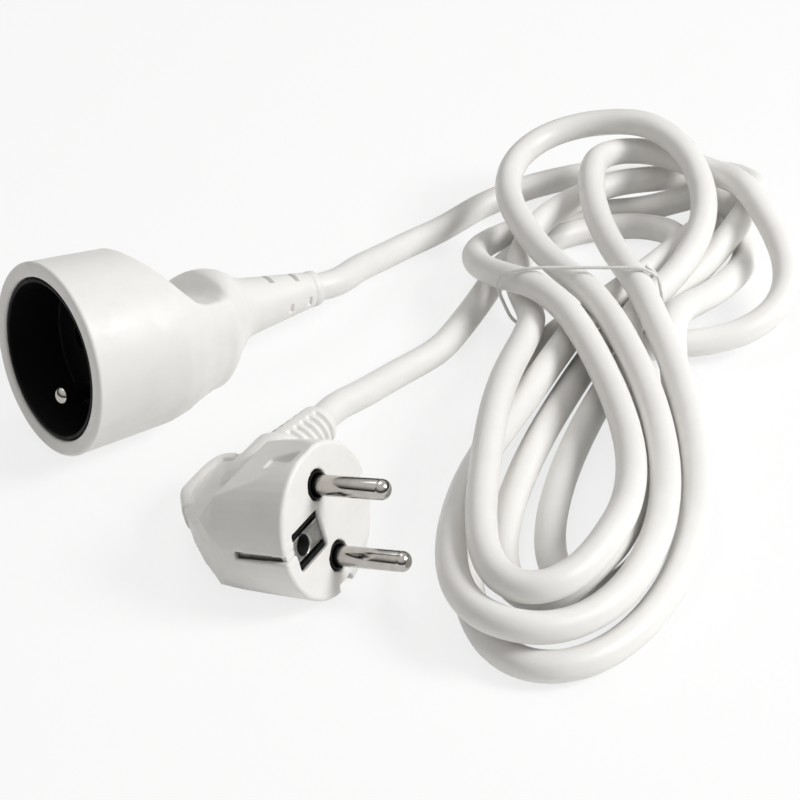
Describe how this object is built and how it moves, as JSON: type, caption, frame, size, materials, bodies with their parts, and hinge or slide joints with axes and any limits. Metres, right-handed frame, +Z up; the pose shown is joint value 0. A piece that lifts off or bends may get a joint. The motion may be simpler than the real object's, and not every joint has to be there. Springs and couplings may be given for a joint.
{
  "type": "extension cord",
  "caption": "White household extension cord: round trailing socket with an earth pin and a shutter, round flex tied in a figure-eight hank, angled two-pin plug with earth clips.",
  "frame": {"origin": "bottom centre of the socket, on the plane that everything lies on", "axes": "+X along the socket from its face to its cord, +Z up, +Y to the far side in the picture"},
  "size_m": [0.2252, 0.172, 0.0502],
  "materials": {
    "white_pvc": "moulded soft PVC, satin",
    "cord_pvc": "extruded PVC sheath, satin",
    "black_plastic": "moulded, dull",
    "grey_plastic": "moulded, dull",
    "nickel": "nickel plated and polished",
    "brass": "stamped",
    "steel": "tin plated",
    "tie_plastic": "thin plastic over wire",
    "core_brown": "PVC insulation",
    "core_blue": "PVC insulation",
    "core_earth": "PVC insulation, green with yellow"
  },
  "bodies": {
    "cord_set": {"socket_body": "white_pvc", "socket_boot": "white_pvc", "socket_insert": "black_plastic", "shutter_spring": "steel", "contact_carrier": "grey_plastic", "socket_live_contact": "brass", "socket_neutral_contact": "brass", "socket_earth_pin": "nickel", "socket_live_crimp": "steel", "socket_neutral_crimp": "steel", "socket_earth_crimp": "steel", "socket_live_core": "core_brown", "socket_neutral_core": "core_blue", "socket_earth_core": "core_earth", "plug_body": "white_pvc", "plug_bridge": "black_plastic", "plug_live_pin": "nickel", "plug_neutral_pin": "nickel", "plug_earth_contact": "steel", "plug_live_crimp": "steel", "plug_neutral_crimp": "steel", "plug_earth_crimp": "steel", "plug_live_core": "core_brown", "plug_neutral_core": "core_blue", "plug_earth_core": "core_earth", "plug_boot": "white_pvc", "socket_lead": "cord_pvc", "coil": "cord_pvc", "plug_lead": "cord_pvc", "tie": "tie_plastic"},
    "shutter": {"socket_shutter": "grey_plastic"}
  },
  "joints": [
    {"name": "shutter_slide", "type": "slide", "parent": "cord_set", "child": "shutter", "axis": [0.1272, 0.225, 0.966], "range_m": [0, 0.006], "stiffness_N_per_m": 60, "springref_m": -0.002, "deforming": ["shutter_spring"]}
  ]
}
